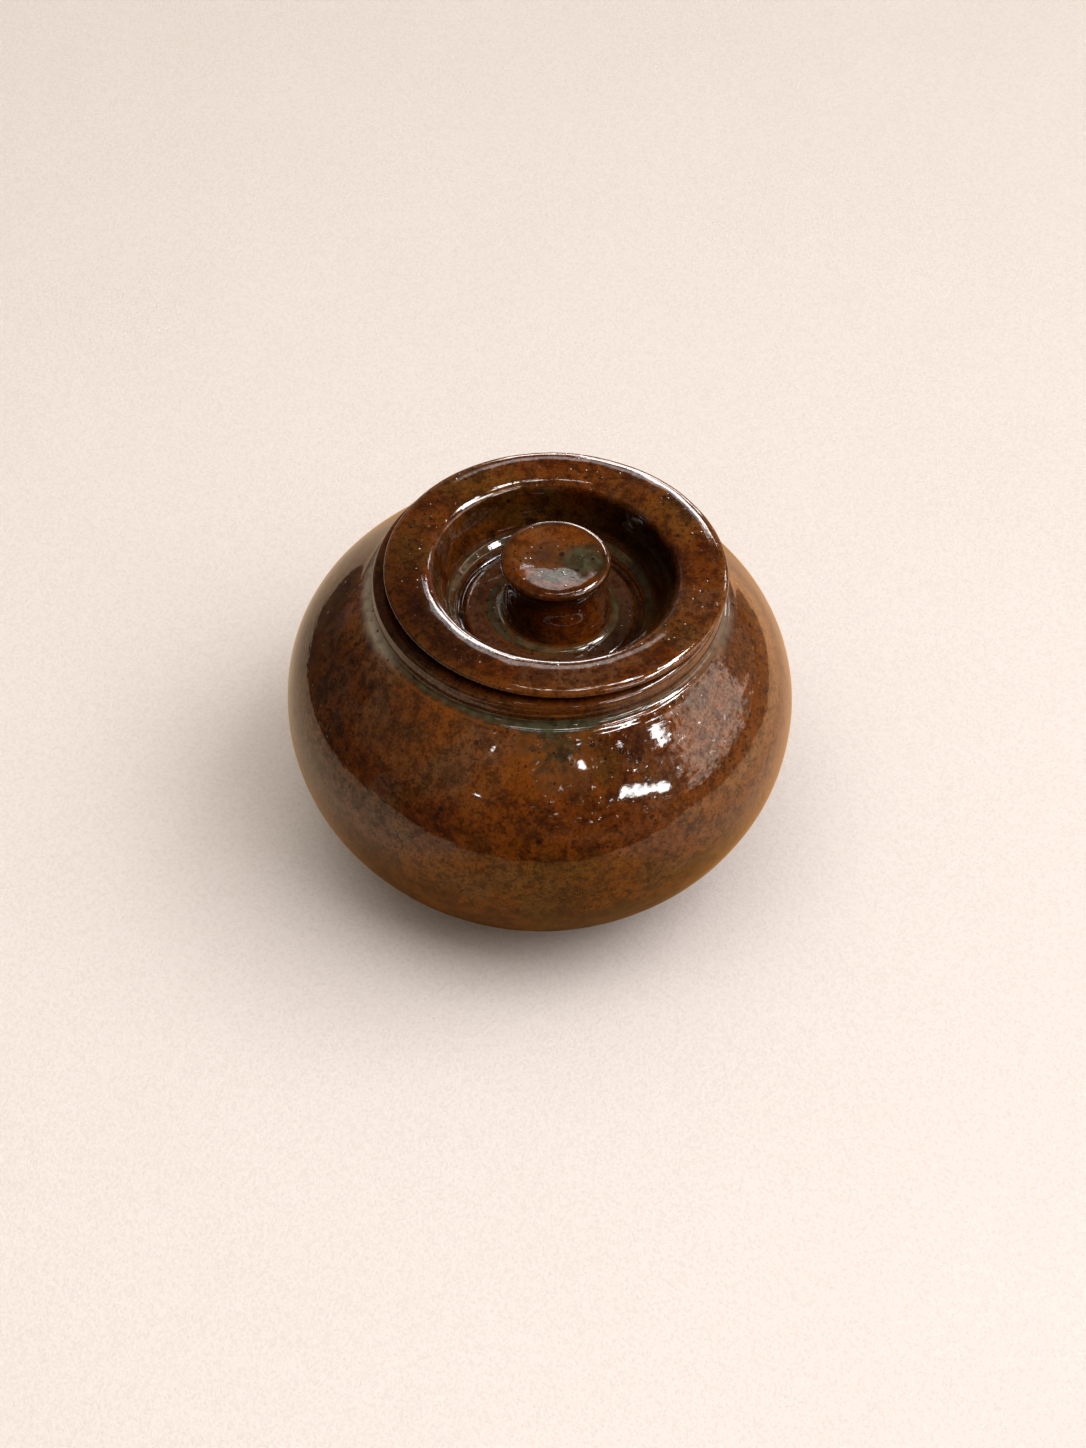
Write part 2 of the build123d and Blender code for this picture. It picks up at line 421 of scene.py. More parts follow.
def jar_painted_sheen(radius, height, points):
    """Painted sheen: a pale reflection painted into the groove, on the jar's left and some on its right."""
    turn = turn_of(points)
    left = smooth(turn % 360, 145, 165) * smooth(turn % 360, 222, 200)
    right = 0.6 * near(turn, -8, 24)
    return (left + right) * near(height, neck_height + 0.6 * MM, 1.4 * MM) * (radius > 46 * MM)


def jar_thin_glaze_and_painted_light(radius, height, points):
    """Thin rusty glaze just above the bare foot, and painted light: a lighter amber on the belly's right."""
    right = 0.55 * near(turn_of(points), 5, 40) * (radius > 52 * MM)
    return np.maximum(smooth(height, 7 * MM, 3.5 * MM), right)


def jar_painted_shade(radius, height, points):
    """Painted shade: the belly's left darker, on the side away from the light."""
    left = near((turn_of(points) + 210) % 360, 42, 42)
    return 0.52 * left * smooth(radius, 50 * MM, 56 * MM) * (height > base_top)


def collar_pool(radius, height, points):
    """Green glaze at the coil's foot."""
    return smooth(height, neck_height + 3.6 * MM, neck_height + 1.8 * MM) * (radius > 45 * MM)


def collar_thin(radius, height, points):
    """Thin rusty glaze on the coil's upper edge."""
    return 0.7 * near(height, collar_top - 0.8 * MM, 1.0 * MM) * smooth(radius, 44.6 * MM, 45.6 * MM)


def collar_painted_shade(radius, height, points):
    """Painted shade on the coil's left, most of all a painted shadow under the lid's rim."""
    left = near(turn_of(points) % 360, 212, 58)
    high = smooth(height, collar_top - 3.2 * MM, collar_top - 0.2 * MM)
    return left * (0.30 + 0.55 * high) * (radius > 42 * MM)


def on_floor(height):
    """1 on the lid's raised floor and below it, 0 above."""
    return smooth(height, floor_height + 0.6 * MM, floor_height + 0.1 * MM)


def on_cap(height):
    """1 on the top of the knob's cap, 0 below."""
    return smooth(height, knob_top - 2.6 * MM, knob_top - 1.6 * MM)


def cap_middle(points, width):
    """1 at the middle of the cap, a little to its left, falling off over the width."""
    return near(np.hypot((points[:, 0] + 1.8 * MM) * 0.8, points[:, 1] - 1.0 * MM), 0, width)


def lid_pool(radius, height, points):
    """Green glaze on the ledge and in the ring round the knob."""
    low = smooth(height, floor_height + LEDGE_RISE + 2.4 * MM, floor_height + LEDGE_RISE + 0.9 * MM)
    on_ledge = smooth(radius, LEDGE_EDGE - 0.3 * MM, LEDGE_EDGE + 0.5 * MM)
    return low * (0.62 * on_ledge + 0.8 * near(radius, KNOB_FOOT + 1.4 * MM, 1.3 * MM))


def lid_haze(radius, height, points):
    """Grey-mauve glaze on the floor round the knob."""
    return on_floor(height) * smooth(radius, 17.4 * MM, 18.8 * MM) * smooth(radius, 23.2 * MM, 22.2 * MM)


def lid_thin(radius, height, points):
    """Thin rusty glaze on the rim's crest and outer edge."""
    return 0.8 * near(radius, rim_radius - 0.6 * MM, 1.3 * MM) + 0.35 * near(radius, 37.2 * MM, 1.2 * MM)


def lid_painted_shade(radius, height, points):
    """Painted shade on the well's far wall and ledge, on its floor and on the rim's near left, and darker in
    the moat.
    """
    turn = turn_of(points)
    wall = (smooth(height, crest_height - 1.5 * MM, crest_height - 4 * MM)
            * smooth(radius, 27.8 * MM, 28.4 * MM))
    moat = near(radius, (FLOOR_EDGE + LEDGE_EDGE) / 2, 1.0 * MM) * (height < floor_height + 0.2 * MM)
    ledge = smooth(radius, 25.2 * MM, 25.8 * MM) * (radius < 28.4 * MM)
    far_side = near(turn, 25, 85) * (radius < 34 * MM)
    left = 0.62 * near(turn % 360, 208, 46) * smooth(radius, 34 * MM, 37 * MM)
    floor = on_floor(height) * (radius < FLOOR_EDGE) * (0.25 + 0.45 * near(turn, -30, 45))
    inside = np.maximum(0.98 * wall, 0.7 * ledge) * far_side + np.maximum(0.85 * moat, floor)
    return (inside + left) * (height > floor_height - 2.0 * MM)


def knob_pool(radius, height, points):
    """A green pool in the cap's hollow, to the right and in front, and some at the knob's foot."""
    x, y = points[:, 0], points[:, 1]
    right = near(np.hypot(x - 7.2 * MM, y + 0.6 * MM), 0, 6.6 * MM)
    front = near(np.hypot((x - 1.0 * MM) * 0.5, y + 6.2 * MM), 0, 3.8 * MM)
    foot = smooth(height, floor_height + 2.0 * MM, floor_height + 0.3 * MM)
    return on_cap(height) * np.maximum(1.1 * right, 0.9 * front) + 0.7 * foot


def knob_haze(radius, height, points):
    """Mauve glaze in the middle of the cap."""
    return 1.4 * on_cap(height) * cap_middle(points, 5.2 * MM)


def knob_painted_shade_and_dark_glaze(radius, height, points):
    """Painted shadow on the stem under the cap, most of all on its left, and darker glaze on the cap's edge
    and in its middle.
    """
    left = 0.10 + 0.7 * smooth(points[:, 0], 6 * MM, -7 * MM)
    stem = (smooth(height, knob_top - 3.2 * MM, knob_top - 4.6 * MM)
            * smooth(height, floor_height, floor_height + 3 * MM))
    cap = 0.42 * np.maximum(smooth(radius, 11.2 * MM, 13.2 * MM), cap_middle(points, 4.4 * MM))
    return stem * left + cap * smooth(height, knob_top - 3.6 * MM, knob_top - 2.6 * MM)


def knob_thin(radius, height, points):
    """Thin rusty glaze on the cap's edge and over its far left."""
    high = smooth(height, knob_top - 6 * MM, knob_top - 4 * MM)
    far_left = 0.75 * near(np.hypot(points[:, 0] + 7 * MM, points[:, 1] - 7 * MM), 0, 6 * MM)
    return high * np.maximum(0.3 * near(radius, CAP_RADIUS - 0.7 * MM, 1.1 * MM), far_left)


# The dark marks are painted shade, on the knob's cap also darker glaze; the jar's pale mark is a painted
# sheen, and its thin mark is partly painted light
jar_body = turned("jar_body_glazed", jar_outline(), WIDE_TURN, relief=jar_relief, lean=jar_lean,
                  marks={"pool": jar_pool, "pale": jar_painted_sheen, "thin": jar_thin_glaze_and_painted_light, "dark": jar_painted_shade})
neck_collar = turned("neck_collar_glazed", collar_outline(), WIDE_TURN, relief=collar_relief,
                     marks={"pool": collar_pool, "thin": collar_thin, "dark": collar_painted_shade})
base_slab = turned("base_slab_clay", slab_outline(), SMALL_TURN, lean=jar_lean)
lid_dish = turned("lid_dish_glazed", lid_outline(), WIDE_TURN, lid_centre,
                  relief=lid_relief, lean=lid_lean,
                  marks={"pool": lid_pool, "haze": lid_haze, "thin": lid_thin, "dark": lid_painted_shade})
lid_knob = turned("lid_knob_glazed", knob_outline(), SMALL_TURN, knob_centre,
                  relief=knob_relief, lean=knob_lean,
                  marks={"pool": knob_pool, "haze": knob_haze, "thin": knob_thin, "dark": knob_painted_shade_and_dark_glaze})

for piece, node, body, finish in (
        (jar_body, "jar_body", "jar", "jar_glaze"),
        (neck_collar, "neck_collar", "jar", "collar_glaze"),
        (base_slab, "base_slab", "jar", "bare_clay"),
        (lid_dish, "lid_dish", "lid", "lid_glaze"),
        (lid_knob, "lid_knob", "lid", "knob_glaze")):
    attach(piece, body)
    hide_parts(node)


class Nodes:
    """Adds nodes to a material or world and joins them.

    Values are numbers, colours or other nodes' outputs.
    """

    def __init__(self, owner):
        owner.use_nodes = True
        self.tree = owner.node_tree
        self.tree.nodes.clear()

    def add(self, kind, inputs=None, **settings):
        """A node with its settings, and its inputs set or linked by name or number."""
        node = self.tree.nodes.new(kind)
        for name, value in settings.items():
            setattr(node, name, value)
        for name, value in (inputs or {}).items():
            self.set(node.inputs[name], value)
        return node

    def set(self, socket, value):
        if isinstance(value, bpy.types.NodeSocket):
            self.tree.links.new(value, socket)
        elif isinstance(value, tuple) and len(value) == 3 and socket.type == "RGBA":
            socket.default_value = (*value, 1.0)
        else:
            socket.default_value = value

    def noise(self, place, size, seed, detail=3.0, roughness=0.55, distortion=0.0):
        """Noise from 0 to 1 with features of about the size given."""
        return self.add("ShaderNodeTexNoise", {
            "Vector": place, "W": seed * 3.7, "Scale": 1 / size, "Detail": detail,
            "Roughness": roughness, "Distortion": distortion}, noise_dimensions="4D").outputs["Fac"]

    def dots(self, place, size, seed):
        """Distance from scattered points, in units of the spacing, and a random value for each point."""
        shift = (seed * 5.3 * size,) * 3
        moved = self.add("ShaderNodeVectorMath", {0: place, 1: shift}, operation="ADD").outputs[0]
        node = self.add("ShaderNodeTexVoronoi", {"Vector": moved, "Scale": 1 / size})
        chance = self.add("ShaderNodeSeparateColor", {0: node.outputs["Color"]})
        return node.outputs["Distance"], chance.outputs[0]

    def rise(self, value, low, high, top=1.0, bottom=0.0):
        """Smooth step of a value from low to high, which gives bottom to top."""
        return self.add("ShaderNodeMapRange", {
            "Value": value, "From Min": low, "From Max": high, "To Min": bottom, "To Max": top},
            interpolation_type="SMOOTHSTEP").outputs["Result"]

    def sum(self, operation, a, b=0.0):
        return self.add("ShaderNodeMath", {0: a, 1: b}, operation=operation).outputs[0]

    def blend(self, share, a, b, kind="MIX"):
        """Two colours mixed by a share from 0 to 1."""
        node = self.add("ShaderNodeMix", data_type="RGBA", blend_type=kind)
        for socket, value in ((node.inputs[0], share), (node.inputs[6], a), (node.inputs[7], b)):
            self.set(socket, value)
        return node.outputs[2]

    def mark(self, name):
        return self.add("ShaderNodeAttribute", attribute_name=name).outputs["Fac"]

    def bump(self, height, depth, below=None):
        node = self.add("ShaderNodeBump", {"Height": height, "Distance": depth, "Strength": 1.0})
        if below is not None:
            self.set(node.inputs["Normal"], below)
        return node.outputs["Normal"]


# Colours of the glazes, in linear light
AMBER = (0.150, 0.0365, 0.0014)
RUST = (0.094, 0.0195, 0.0012)
BROWN = (0.022, 0.0048, 0.0011)
MAUVE = (0.100, 0.044, 0.020)
OLIVE = (0.086, 0.041, 0.0060)
GREEN = (0.060, 0.067, 0.034)
DEEP_GREEN = (0.031, 0.029, 0.013)
# Pale grey of the painted sheen, a reflection painted into the jar's groove
SHEEN_GREY = (0.285, 0.242, 0.182)
SPECK = (0.008, 0.0034, 0.0020)
THIN = (0.205, 0.060, 0.0055)
LID_AMBER = (0.112, 0.032, 0.0036)
GLAZE_IOR = 1.48

# Colours of the bare clay
CLAY = (0.235, 0.125, 0.070)
DARK_CLAY = (0.130, 0.062, 0.034)
GRIT = (0.040, 0.022, 0.015)


def glaze(name, seed, amber=AMBER):
    """Glossy iron-amber glaze: cloudy browns, dark specks, green where it pools and rust where it is thin,
    with painted shade, sheen and light from the marks.
    """
    material = bpy.data.materials.new(name)
    n = Nodes(material)
    place = n.add("ShaderNodeTexCoord").outputs["Object"]
    cloud = n.noise(place, 26 * MM, seed, distortion=0.3)
    patch = n.noise(place, 19 * MM, seed + 1, detail=5.0)
    blotch = n.noise(place, 8 * MM, seed + 2, detail=7.0, roughness=0.62)
    mottle = n.noise(place, 2.6 * MM, seed + 9, detail=5.0, roughness=0.6)
    grain = n.noise(place, 0.7 * MM, seed + 3, detail=3.0, roughness=0.6)
    colour = n.blend(n.rise(cloud, 0.42, 0.58), amber, RUST)
    colour = n.blend(n.rise(patch, 0.50, 0.60, 0.70), colour, MAUVE)
    colour = n.blend(n.rise(n.noise(place, 21 * MM, seed + 4), 0.53, 0.64, 0.7), colour, OLIVE)
    colour = n.blend(n.rise(blotch, 0.48, 0.62, 0.66), colour, BROWN)
    colour = n.blend(n.rise(blotch, 0.44, 0.30, 0.45), colour, THIN)
    # The thin mark is thin rusty glaze; on the jar's right it is painted light
    thin = n.sum("MULTIPLY", n.mark("thin"), n.rise(mottle, 0.35, 0.6, 0.9, 0.4))
    colour = n.blend(thin, colour, THIN)
    colour = n.blend(n.rise(mottle, 0.47, 0.62, 0.66), colour, BROWN)
    colour = n.blend(n.rise(mottle, 0.46, 0.34, 0.28), colour, THIN)
    colour = n.blend(n.rise(grain, 0.48, 0.66, 0.56), colour, BROWN)
    colour = n.blend(n.rise(grain, 0.45, 0.33, 0.26), colour, THIN)

    haze = n.sum("MULTIPLY", n.mark("haze"), n.rise(mottle, 0.62, 0.46, 1.0, 0.25))
    haze = n.sum("MULTIPLY", haze, n.rise(grain, 0.62, 0.45, 1.0, 0.6))
    colour = n.blend(haze, colour, MAUVE)
    ragged = n.sum("ADD", n.mark("pool"), n.rise(mottle, 0.3, 0.7, 0.12, -0.12))
    ochre = n.sum("MULTIPLY", n.rise(ragged, 0.10, 0.26, 0.40), n.rise(ragged, 0.50, 0.30))
    colour = n.blend(ochre, colour, THIN)
    green = n.blend(n.rise(n.noise(place, 2.6 * MM, seed + 5, detail=4.0), 0.40, 0.62), DEEP_GREEN, GREEN)
    colour = n.blend(n.rise(ragged, 0.18, 0.90, 0.85), colour, green)
    # Painted sheen: the pale mark paints a pale reflection into the jar's groove
    pale = n.sum("MULTIPLY", n.mark("pale"), n.rise(mottle, 0.62, 0.45, 1.0, 0.6))
    colour = n.blend(pale, colour, SHEEN_GREY)

    edge = n.rise(grain, 0.3, 0.7, 0.05, -0.05)
    big_dot, big_chance = n.dots(place, 4.2 * MM, seed)
    big = n.sum("SUBTRACT", n.sum("ADD", big_dot, edge), n.rise(big_chance, 0.50, 1.0, 0.20))
    small_dot, small_chance = n.dots(place, 1.7 * MM, seed + 1)
    small = n.sum("SUBTRACT", n.sum("ADD", small_dot, edge), n.rise(small_chance, 0.55, 1.0, 0.26))
    specks = n.sum("MAXIMUM", n.rise(big, 0.03, -0.02, 0.8), n.rise(small, 0.04, -0.04, 0.7))
    colour = n.blend(specks, colour, SPECK)
    # Painted shade: the dark mark darkens the colour where shade falls; on the knob's cap it is partly darker
    # glaze
    left_over = n.sum("SUBTRACT", 1.0, n.mark("dark"))
    shade = n.add("ShaderNodeCombineColor", {0: left_over, 1: left_over, 2: left_over}).outputs[0]
    colour = n.blend(1.0, colour, shade, "MULTIPLY")

    pin_dot, pin_chance = n.dots(place, 2.2 * MM, seed + 6)
    pits = n.sum("MULTIPLY", n.rise(pin_dot, 0.20, 0.04), n.sum("GREATER_THAN", pin_chance, 0.50))
    normal = n.bump(n.noise(place, 3.2 * MM, seed + 7, detail=2.0), 0.022 * MM)
    normal = n.bump(n.noise(place, 1.1 * MM, seed + 8, detail=3.0), 0.0050 * MM, normal)
    normal = n.bump(pits, 0.05 * MM, normal)
    rough = n.sum("ADD", n.rise(blotch, 0.35, 0.75, 0.04), 0.030)
    clear = n.sum("MULTIPLY", n.rise(mottle, 0.62, 0.40, 0.56, 0.40), n.rise(grain, 0.62, 0.42, 1.2, 0.7))
    shader = n.add("ShaderNodeBsdfPrincipled", {
        "Base Color": colour, "Roughness": rough, "Specular IOR Level": clear,
        "Normal": normal, "IOR": GLAZE_IOR})
    n.add("ShaderNodeOutputMaterial", {"Surface": shader.outputs[0]})
    return material


def clay():
    """Bare fired clay of the foot: rough, brown and gritty."""
    material = bpy.data.materials.new("bare_clay")
    n = Nodes(material)
    place = n.add("ShaderNodeTexCoord").outputs["Object"]
    cloud = n.noise(place, 9 * MM, 40, detail=4.0)
    grit = n.noise(place, 0.9 * MM, 41, detail=3.0, roughness=0.65)
    colour = n.blend(n.rise(cloud, 0.4, 0.65), CLAY, DARK_CLAY)
    colour = n.blend(n.rise(grit, 0.56, 0.70, 0.7), colour, GRIT)
    normal = n.bump(grit, 0.12 * MM, n.bump(cloud, 0.25 * MM))
    rough = n.rise(grit, 0.3, 0.7, 0.92, 0.74)
    shader = n.add("ShaderNodeBsdfPrincipled", {"Base Color": colour, "Roughness": rough, "Normal": normal})
    n.add("ShaderNodeOutputMaterial", {"Surface": shader.outputs[0]})
    return material


for piece, material in (
        (jar_body, glaze("jar_glaze", 3)),
        (neck_collar, glaze("collar_glaze", 11, RUST)),
        (base_slab, clay()),
        (lid_dish, glaze("lid_glaze", 19, LID_AMBER)),
        (lid_knob, glaze("knob_glaze", 27))):
    piece.data.materials.append(material)

# The pale sheet that the jar stands on, and where its edges lie for the glaze.
# Past them the glaze mirrors a dark table, and the camera sees the sheet go on.
SHEET_LEFT = -0.320
SHEET_RIGHT = 0.340
SHEET_FRONT = -0.200
FLOOR_REACH = 4.0
PALE = (0.866, 0.842, 0.834)
CLOUDED = (0.851, 0.822, 0.810)
FIBRE = (0.782, 0.750, 0.733)
DARK = (0.020, 0.015, 0.012)
DARK_RIGHT = (0.42, 0.24, 0.13)
# What the glaze mirrors of the sheet, a painted reflection: dimmer and warmer than the paper, greyer to the
# left, brighter than lit paper to the right as painted light, and dark close to the jar as painted shadow
MIRRORED = (0.69, 0.37, 0.12)
MIRRORED_LEFT = (0.77, 0.61, 0.44)
MIRRORED_LIT_RIGHT = (1.10, 0.74, 0.48)
MIRRORED_LIT_FAR = (1.95, 1.20, 0.66)
MIRRORED_SHADOW = (0.08, 0.05, 0.03)
BACKDROP = (0.93, 0.84, 0.78)
GLOSS_SHARE = 0.06


def seen(n):
    """1 for what the camera and clear glass see, and a small share for what gloss mirrors."""
    path = n.add("ShaderNodeLightPath").outputs
    gloss = n.sum("MULTIPLY", path["Is Glossy Ray"], GLOSS_SHARE)
    return n.sum("ADD", n.sum("ADD", path["Is Camera Ray"], path["Is Transmission Ray"]), gloss)


def paper():
    """Warm white paper with a fine grain; past its edges only the camera sees it go on, and gloss sees a
    painted reflection of it.
    """
    material = bpy.data.materials.new("paper")
    n = Nodes(material)
    place = n.add("ShaderNodeNewGeometry").outputs["Position"]
    axis = n.add("ShaderNodeSeparateXYZ", {0: place}).outputs
    torn = n.noise(place, 40 * MM, 52, detail=4.0, roughness=0.65)
    across = n.sum("ADD", axis[0], n.rise(torn, 0.3, 0.7, 30 * MM, -30 * MM))
    along = n.sum("ADD", axis[1], n.rise(torn, 0.3, 0.7, 14 * MM, -14 * MM))
    inside = n.sum("MULTIPLY", n.sum("GREATER_THAN", across, SHEET_LEFT),
                   n.sum("LESS_THAN", across, SHEET_RIGHT))
    inside = n.sum("MULTIPLY", inside, n.sum("GREATER_THAN", along, SHEET_FRONT))
    fibre = n.noise(place, 0.9 * MM, 50, detail=4.0, roughness=0.65)
    tone = n.blend(n.rise(n.noise(place, 60 * MM, 51), 0.3, 0.7, 0.5), PALE, CLOUDED)
    tone = n.blend(n.rise(fibre, 0.42, 0.66, 0.8), tone, FIBRE)
    # Painted reflection of the sheet for gloss: greyer to the left, painted light to the right, painted
    # shadow close in front of the jar
    mirrored = n.blend(n.rise(axis[0], -40 * MM, -110 * MM), MIRRORED, MIRRORED_LEFT)
    mirrored = n.blend(n.rise(axis[0], 60 * MM, 130 * MM), mirrored, MIRRORED_LIT_RIGHT)
    mirrored = n.blend(n.rise(axis[0], 150 * MM, 250 * MM), mirrored, MIRRORED_LIT_FAR)
    level = n.add("ShaderNodeCombineXYZ", {0: axis[0], 1: axis[1]}).outputs[0]
    reach = n.add("ShaderNodeVectorMath", {0: level}, operation="LENGTH").outputs["Value"]
    close_shadow = n.sum("MULTIPLY", n.rise(reach, 125 * MM, 60 * MM, 0.70), n.rise(axis[0], 90 * MM, 40 * MM))
    close_shadow = n.sum("MULTIPLY", close_shadow, n.rise(axis[1], -5 * MM, -55 * MM))
    mirrored = n.blend(close_shadow, mirrored, MIRRORED_SHADOW)
    tone = n.blend(n.add("ShaderNodeLightPath").outputs["Is Glossy Ray"], tone, mirrored)
    table = n.blend(n.rise(axis[0], 0.1, 0.3), DARK, DARK_RIGHT)
    colour = n.blend(n.sum("MAXIMUM", inside, seen(n)), table, tone)
    shader = n.add("ShaderNodeBsdfPrincipled", {
        "Base Color": colour, "Roughness": 0.9, "Specular IOR Level": 0.2,
        "Normal": n.bump(fibre, 0.42 * MM)})
    n.add("ShaderNodeOutputMaterial", {"Surface": shader.outputs[0]})
    return material


# The room: what the glaze mirrors where nothing shines, and the plain fill from the horizon and from above
DIM_ROOM = (0.046, 0.031, 0.020)
FILL_LOW = (0.040, 0.020, 0.008)
FILL_HIGH = (0.735, 0.610, 0.485)
ROOM_COLOUR = (1.0, 0.97, 0.95)
# Radiance of each bright box that the glaze mirrors, white being 1, and its place in degrees
ROOM_LIGHTS = (
    (0.30, dict(azimuth=5, elevation=12, wide=110, tall=20, edge=8.0)),
    ((0.44, 0.26, 0.10), dict(azimuth=-125, elevation=35, wide=66, tall=44, edge=3.0, ragged=5.0)),
    ((0.80, 0.46, 0.26), dict(azimuth=95, elevation=12, wide=84, tall=46, edge=12.0)),
    ((4.3, 3.3, 2.7), dict(azimuth=92, elevation=17, wide=40, tall=27, edge=3.0, ragged=9.0)),
    (3.4, dict(azimuth=3, elevation=35.5, wide=14, tall=8, edge=1.2, ragged=2.0)),
    (80.0, dict(azimuth=63, elevation=57, wide=12, tall=5, edge=0.8, ragged=4.5)),
    (60.0, dict(azimuth=48, elevation=70, wide=9, tall=4, edge=0.8, ragged=4.5)),
    (30.0, dict(azimuth=10, elevation=83, wide=12, tall=4, edge=1.2, ragged=4.0)),
    (18.0, dict(azimuth=7, elevation=14, wide=26, tall=6, edge=1.2, ragged=2.5)),
    (24.0, dict(azimuth=9.5, elevation=27.5, wide=19, tall=7, tilt=60, edge=1.2, ragged=3.0)),
    (20.0, dict(azimuth=40, elevation=28, wide=6, tall=5, edge=1.0, ragged=4.0)),
    (60.0, dict(azimuth=94, elevation=50, wide=20, tall=6, edge=0.6, ragged=2.5)),
    (40.0, dict(azimuth=132, elevation=18, wide=20, tall=4.0, tilt=31, edge=0.3, ragged=1.8)),
    (40.0, dict(azimuth=129.5, elevation=47.9, wide=15, tall=2.2, tilt=15, edge=0.3, ragged=0.6)),
    (40.0, dict(azimuth=116, elevation=33.8, wide=6, tall=2.0, tilt=16, edge=0.3, ragged=2.2)),
    (40.0, dict(azimuth=159, elevation=41, wide=1, tall=1, edge=0.2, ragged=1.6)),
    (40.0, dict(azimuth=-154, elevation=26, wide=2.0, tall=1.5, edge=0.3, ragged=1.0)),
    (30.0, dict(azimuth=-152, elevation=43.5, wide=1, tall=1, edge=0.3, ragged=1.5)),
)
# Radiance, spacing in radians, share left out, and the box that they fill
SPARKS = (
    (80.0, 0.055, 0.50, dict(azimuth=128, elevation=31, wide=78, tall=46, edge=12.0)),
    (80.0, 0.030, 0.40, dict(azimuth=157, elevation=43.5, wide=9, tall=5, edge=2.0)),
)


def lay_floor():
    """A flat floor for the camera, far larger than its view."""
    r = FLOOR_REACH
    mesh = bpy.data.meshes.new("floor")
    mesh.from_pydata([(-r, -r, 0), (r, -r, 0), (r, r, 0), (-r, r, 0)], [], [(0, 1, 2, 3)])
    mesh.materials.append(paper())
    floor = bpy.data.objects.new("floor", mesh)
    bpy.context.scene.collection.objects.link(floor)


def facing(azimuth, elevation, tilt=0.0):
    """Right, up and outward directions of a box seen from the jar in the direction given, in degrees.

    Azimuth 0 is away from the camera and 90 is to the right. tilt raises the box's far end.
    """
    a, e, t = math.radians(azimuth), math.radians(elevation), math.radians(tilt)
    outward_way = Vector((math.sin(a) * math.cos(e), math.cos(a) * math.cos(e), math.sin(e)))
    side = Vector((math.cos(a), -math.sin(a), 0.0))
    over = side.cross(outward_way).normalized()
    right = math.cos(t) * side + math.sin(t) * over
    return right, outward_way.cross(right).normalized(), outward_way


def glow(n, way, azimuth, elevation, wide, tall, tilt=0.0, edge=1.0, ragged=0.0):
    """Share of a bright box in the room, from 0 to 1, in the direction way. Its angles are in degrees."""
    right, up, towards = facing(azimuth, elevation, tilt)
    along = [n.add("ShaderNodeVectorMath", {0: way, 1: axis}, operation="DOT_PRODUCT").outputs["Value"]
             for axis in (right, up, towards)]
    stray = n.rise(n.noise(way, 0.055, azimuth, detail=4.0, roughness=0.65), 0.3, 0.7, ragged, -ragged)
    share = n.sum("GREATER_THAN", along[2], 0.2)
    for part, extent in ((along[0], wide), (along[1], tall)):
        offset = n.sum("ABSOLUTE", n.sum("DIVIDE", part, along[2]))
        degrees = n.sum("ADD", n.sum("MULTIPLY", n.sum("ARCTANGENT", offset), math.degrees(1)), stray)
        share = n.sum("MULTIPLY", share, n.rise(degrees, extent / 2 + edge, extent / 2 - edge))
    return share


def light_world():
    """The room that the glaze mirrors, a plain fill for the shadows, and a pale backdrop for the camera."""
    world = bpy.data.worlds.new("room")
    bpy.context.scene.world = world
    n = Nodes(world)
    path = n.add("ShaderNodeLightPath").outputs
    way = n.add("ShaderNodeTexCoord").outputs["Generated"]
    mirrored = DIM_ROOM
    for radiance, box in ROOM_LIGHTS:
        light = tuple(float(level) for level in np.multiply(radiance, ROOM_COLOUR))
        mirrored = n.blend(glow(n, way, **box), mirrored, light)
    squat = n.add("ShaderNodeVectorMath", {0: way, 1: (1.0, 1.0, 2.6)}, operation="MULTIPLY").outputs[0]
    for radiance, spacing, left_out, box in SPARKS:
        spark, chance = n.dots(squat, spacing, 60)
        sparks = n.sum("MULTIPLY", n.rise(spark, 0.12, 0.09), n.sum("GREATER_THAN", chance, left_out))
        sparks = n.sum("MULTIPLY", sparks, glow(n, way, **box))
        mirrored = n.blend(sparks, mirrored, tuple(radiance * share for share in ROOM_COLOUR))
    height = n.add("ShaderNodeSeparateXYZ", {0: way}).outputs[2]
    fill = n.blend(n.rise(height, 0.22, 0.88), FILL_LOW, FILL_HIGH)
    room = n.blend(path["Is Diffuse Ray"], mirrored, fill)
    colour = n.blend(seen(n), room, BACKDROP)
    background = n.add("ShaderNodeBackground", {"Color": colour, "Strength": 1.0})
    n.add("ShaderNodeOutputWorld", {"Surface": background.outputs[0]})
    world.cycles.sampling_method = "NONE"


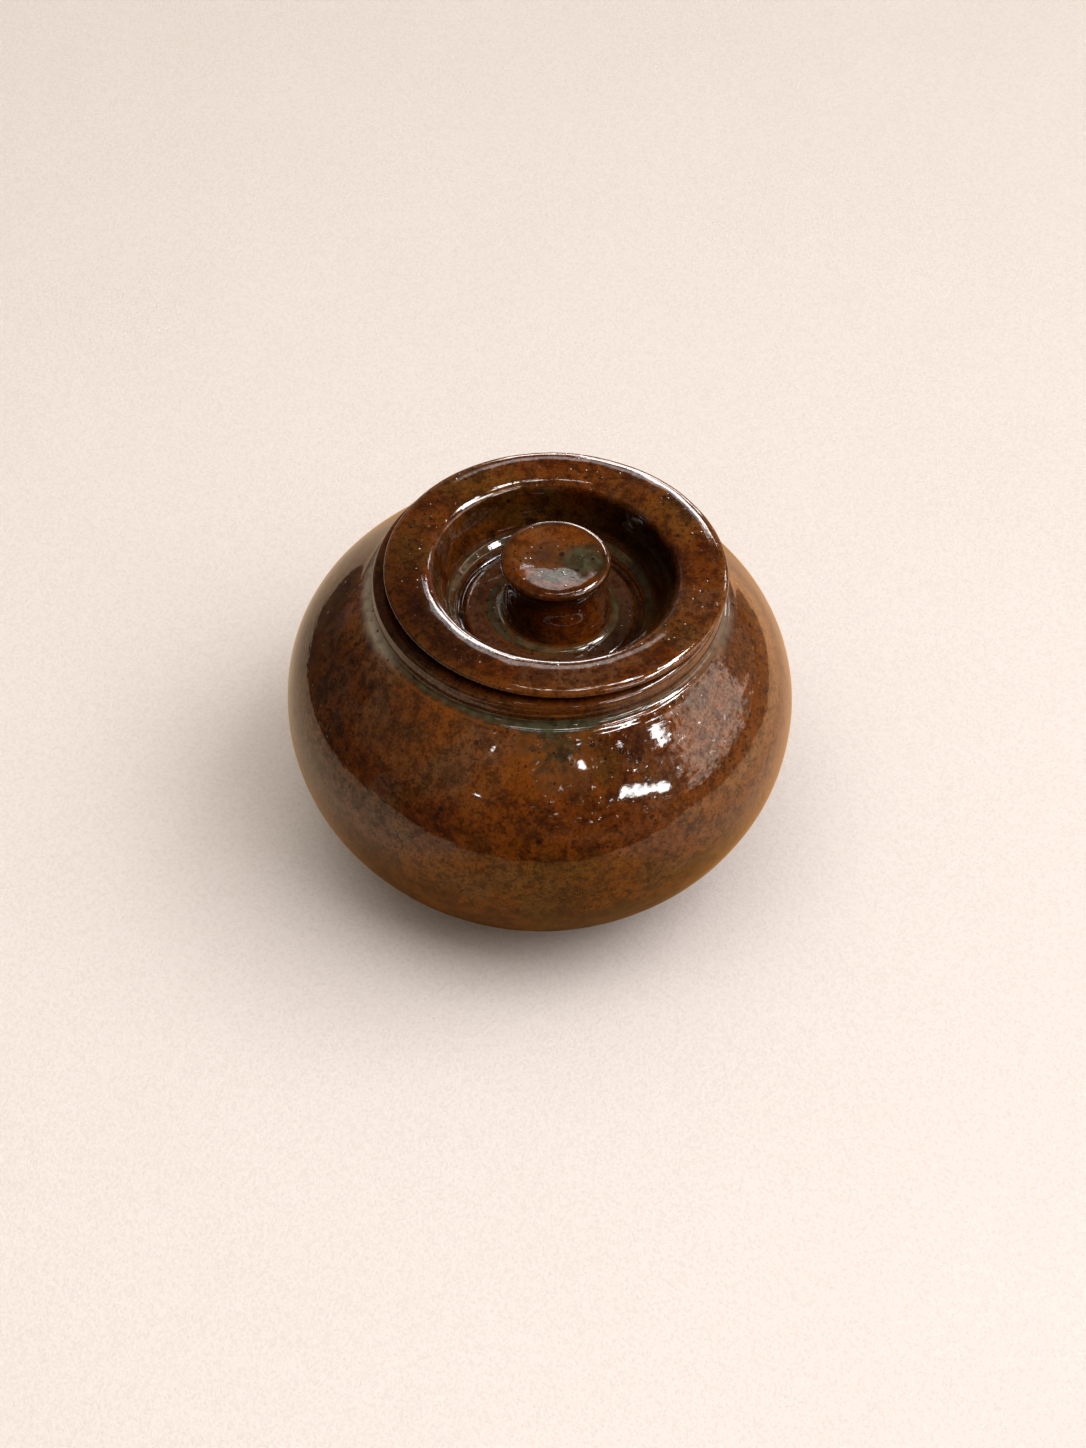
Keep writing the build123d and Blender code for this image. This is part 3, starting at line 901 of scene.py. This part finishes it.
def lamp(name, azimuth, elevation, wide, tall, radiance, distance, colour=(1.0, 0.965, 0.955)):
    """A soft box that lights the jar from the direction given, and that the glaze doesn't mirror."""
    right, up, towards = facing(azimuth, elevation)
    data = bpy.data.lights.new(name, "AREA")
    data.shape = "RECTANGLE"
    data.size = 2 * distance * math.tan(math.radians(wide) / 2)
    data.size_y = 2 * distance * math.tan(math.radians(tall) / 2)
    data.energy = radiance * 4 * data.size * data.size_y
    data.color = colour
    light = bpy.data.objects.new(name, data)
    matrix = light.matrix_world.copy().to_3x3()
    matrix.col[0], matrix.col[1], matrix.col[2] = right, up, towards
    light.matrix_world = matrix.to_4x4()
    light.location = Vector((0, 0, BELLY_HEIGHT)) + towards * distance
    light.visible_camera = False
    light.visible_glossy = False
    bpy.context.scene.collection.objects.link(light)


lay_floor()
light_world()
lamp("key_box", 104, 55, 56, 34, 2.66, distance=1.6)
lamp("overhead_box", 195, 76, 40, 28, 2.2, distance=0.9)

# Camera, placed by the photograph's angle: 47 degrees down, tilted a little, with a 71 mm lens
ELEVATION = math.radians(47.03)
ROLL = math.radians(2.44)
DISTANCE = 0.800
LENS = 71.4
SENSOR = 36.0
LOOK_AT = Vector((BELLY_LEAN, 0, BELLY_HEIGHT))
AIM_RIGHT = 0.87 * MM
AIM_UP = -8.18 * MM


def place_camera():
    """The camera looks along +Y and down, and its picture leans a little to the left."""
    back = Vector((0, -math.cos(ELEVATION), math.sin(ELEVATION)))
    place = LOOK_AT + back * DISTANCE
    level_right = Vector((1, 0, 0))
    level_up = back.cross(level_right)
    right = math.cos(ROLL) * level_right + math.sin(ROLL) * level_up
    up = -math.sin(ROLL) * level_right + math.cos(ROLL) * level_up
    target = LOOK_AT + AIM_RIGHT * right + AIM_UP * up
    forward = (target - place).normalized()
    right = forward.cross(up).normalized()
    up = right.cross(forward)
    data = bpy.data.cameras.new("camera")
    data.lens = LENS
    data.sensor_width = SENSOR
    camera = bpy.data.objects.new("camera", data)
    matrix = camera.matrix_world.copy().to_3x3()
    matrix.col[0], matrix.col[1], matrix.col[2] = right, up, -forward
    camera.matrix_world = matrix.to_4x4()
    camera.location = place
    bpy.context.scene.collection.objects.link(camera)
    bpy.context.scene.camera = camera


place_camera()
bpy.context.scene.view_settings.view_transform = "Standard"
